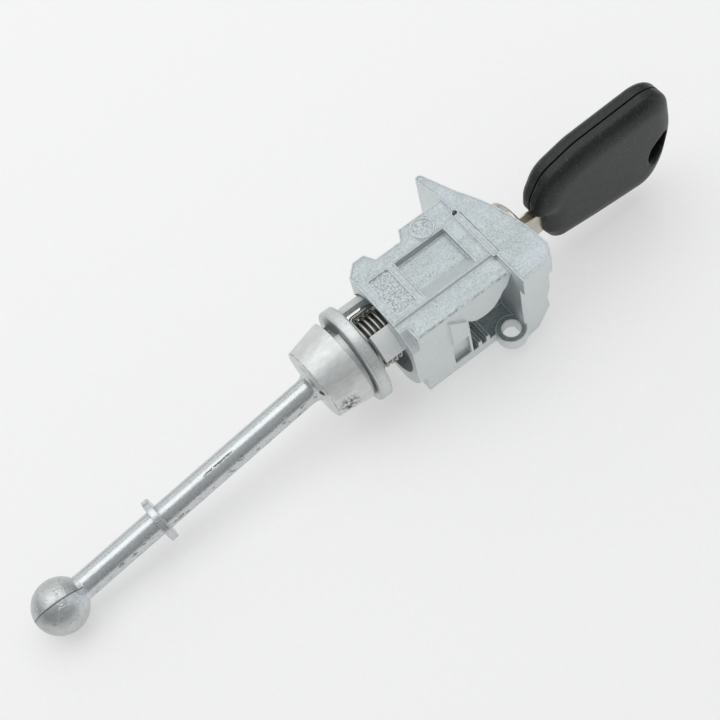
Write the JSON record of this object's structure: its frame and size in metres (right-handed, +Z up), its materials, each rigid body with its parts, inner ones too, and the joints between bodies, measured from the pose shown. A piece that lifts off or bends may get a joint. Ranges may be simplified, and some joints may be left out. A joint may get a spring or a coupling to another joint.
{
  "type": "car door lock cylinder",
  "caption": "Die-cast door lock cylinder with slanted flange, key, wafer plug, sprung driver and a hinged lever rod with a ball end.",
  "frame": {"origin": "centre of the face cap's front, on the lock axis", "axes": "+X along the lock axis towards the key, +Z up, square to the housing's top face"},
  "size_m": [0.2191, 0.0464, 0.0426],
  "materials": {
    "zinc_housing": "cast satin",
    "zinc_driver": "cast satin",
    "zinc_lever": "cast satin",
    "steel_cap": "drawn",
    "steel_pin": "ground",
    "spring_steel": "drawn wire",
    "nickel_blade": "nickel plated",
    "brass_wafer": "stamped",
    "zinc_plug": "cast satin",
    "seal_rubber": "matt",
    "key_plastic": "fine grain",
    "chip_glass": "smooth"
  },
  "bodies": {
    "housing": {"housing": "zinc_housing", "face_cap": "steel_cap", "dust_seal": "seal_rubber", "return_spring": "spring_steel"},
    "rotor": {"plug": "zinc_plug", "wafer_1": "brass_wafer", "wafer_2": "brass_wafer", "wafer_3": "brass_wafer", "wafer_4": "brass_wafer", "wafer_5": "brass_wafer", "wafer_6": "brass_wafer", "wafer_spring_1": "spring_steel", "wafer_spring_2": "spring_steel", "wafer_spring_3": "spring_steel", "wafer_spring_4": "spring_steel", "wafer_spring_5": "spring_steel", "wafer_spring_6": "spring_steel", "driver": "zinc_driver", "ball_stud": "steel_pin"},
    "coupling": {"coupling_pin": "steel_pin"},
    "lever": {"lever_rod": "zinc_lever", "pin_retainer": "spring_steel"},
    "key": {"key_blade": "nickel_blade", "key_shell_left": "key_plastic", "key_shell_right": "key_plastic", "transponder": "chip_glass"}
  },
  "joints": [
    {"name": "plug_turn", "type": "hinge", "parent": "housing", "child": "rotor", "pos_m": [0, 0, 0], "axis": [1, 0, 0], "range_deg": [-50, 50], "stiffness_Nm_per_rad": 0.12, "deforming": ["return_spring"]},
    {"name": "coupling_swing", "type": "hinge", "parent": "rotor", "child": "coupling", "pos_m": [-0.0664, 0, 0], "axis": [0, 0, 1], "range_deg": [-7.2, 2.8]},
    {"name": "rod_tilt", "type": "hinge", "parent": "coupling", "child": "lever", "pos_m": [-0.0664, 0, 0], "axis": [-0.0384, 0.9993, 0], "range_deg": [0, 7]},
    {"name": "key_slide", "type": "slide", "parent": "rotor", "child": "key", "axis": [1, 0, 0], "range_m": [0, 0.04]}
  ]
}
